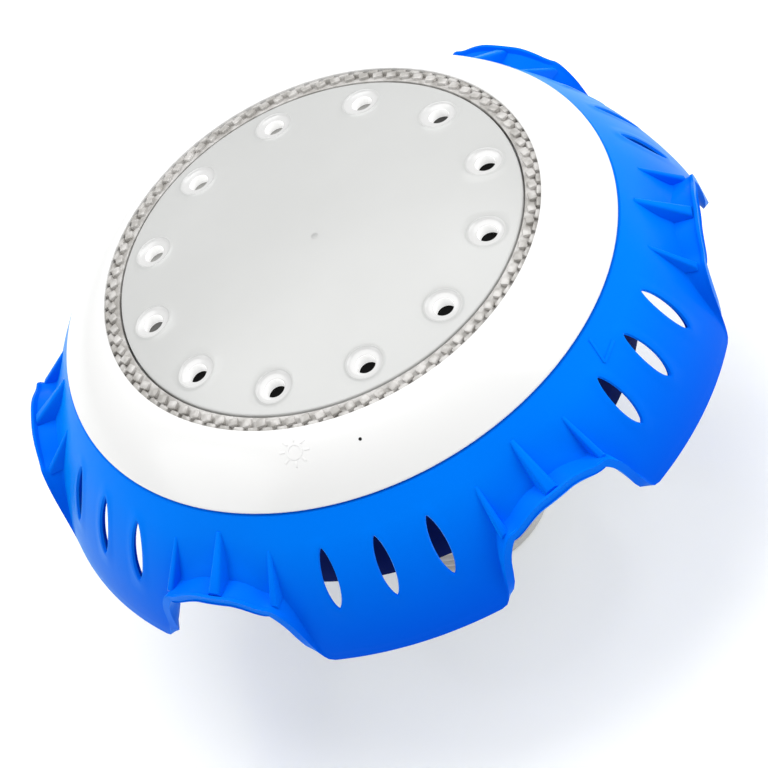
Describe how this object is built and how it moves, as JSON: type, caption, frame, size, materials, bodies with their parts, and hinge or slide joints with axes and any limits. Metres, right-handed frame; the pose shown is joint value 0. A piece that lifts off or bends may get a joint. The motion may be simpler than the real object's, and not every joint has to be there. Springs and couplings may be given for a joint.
{
  "type": "underwater pool light",
  "caption": "Round pool light that screws into a return inlet: domed lens with a crater ring, prism ring, white bezel, lobed blue twist skirt and a water turbine in the boss.",
  "frame": {"origin": "centre of the threaded boss's end face, which is the lowest face of the part", "axes": "+Z from the wall towards the pool, through the lens; +X through the middle of one skirt lobe"},
  "size_m": [0.1906, 0.1906, 0.1166],
  "materials": {
    "blue_shell": "satin-gloss blue moulded ABS",
    "white_gloss": "high-gloss white ABS, slightly convex",
    "white_case": "satin white ABS",
    "frosted_lens": "frosted pale grey polycarbonate with a smooth face",
    "clear_prism": "clear moulded polycarbonate prisms",
    "grey_plastic": "light grey glass-filled plastic",
    "black_rubber": "matt black EPDM",
    "acetal": "off-white acetal",
    "stainless": "A4 stainless steel",
    "impeller_plastic": "orange moulded acetal",
    "magnet": "nickel-plated sintered magnet",
    "stator_steel": "pressed electrical steel",
    "copper_wire": "enamelled copper winding",
    "green_board": "green solder mask on glass-epoxy",
    "capacitor_sleeve": "dark blue sleeve on an aluminium can",
    "reed_glass": "clear glass tube",
    "white_board": "white solder mask",
    "reflector_white": "bright white reflector",
    "led_package": "white package with a pale yellow phosphor dome"
  },
  "bodies": {
    "lamp": {"bezel": "white_gloss", "rear_housing": "white_case", "lens": "frosted_lens", "prism_ring": "clear_prism", "inlet_boss": "grey_plastic", "outlet_cage": "grey_plastic", "bearing_spider": "grey_plastic", "inlet_washer": "black_rubber", "housing_seal": "black_rubber", "lens_seal": "black_rubber", "lower_bush": "acetal", "upper_bush": "acetal", "stator_core": "stator_steel", "stator_coil": "copper_wire", "driver_board": "green_board", "storage_capacitor": "capacitor_sleeve", "reed_switch": "reed_glass", "led_board": "white_board", "reflector_plate": "reflector_white", "led_1": "led_package", "led_2": "led_package", "led_3": "led_package", "led_4": "led_package", "led_5": "led_package", "led_6": "led_package", "led_7": "led_package", "led_8": "led_package", "led_9": "led_package", "led_10": "led_package", "led_11": "led_package", "led_12": "led_package", "case_screw_1": "stainless", "case_screw_2": "stainless", "case_screw_3": "stainless", "case_screw_4": "stainless", "case_screw_5": "stainless", "case_screw_6": "stainless", "boss_screw_1": "stainless", "boss_screw_2": "stainless", "boss_screw_3": "stainless", "boss_screw_4": "stainless"},
    "skirt_ring": {"skirt": "blue_shell", "switch_magnet": "magnet"},
    "turbine": {"turbine_shaft": "stainless", "impeller": "impeller_plastic", "rotor_magnet": "magnet"}
  },
  "joints": [
    {"name": "skirt_twist", "type": "hinge", "parent": "lamp", "child": "skirt_ring", "pos_m": [0, 0, 0.08], "axis": [0, 0, 1], "range_deg": [0, 15]},
    {"name": "turbine_spin", "type": "hinge", "parent": "lamp", "child": "turbine", "pos_m": [0, 0, 0.05], "axis": [0, 0, 1], "continuous": true}
  ]
}
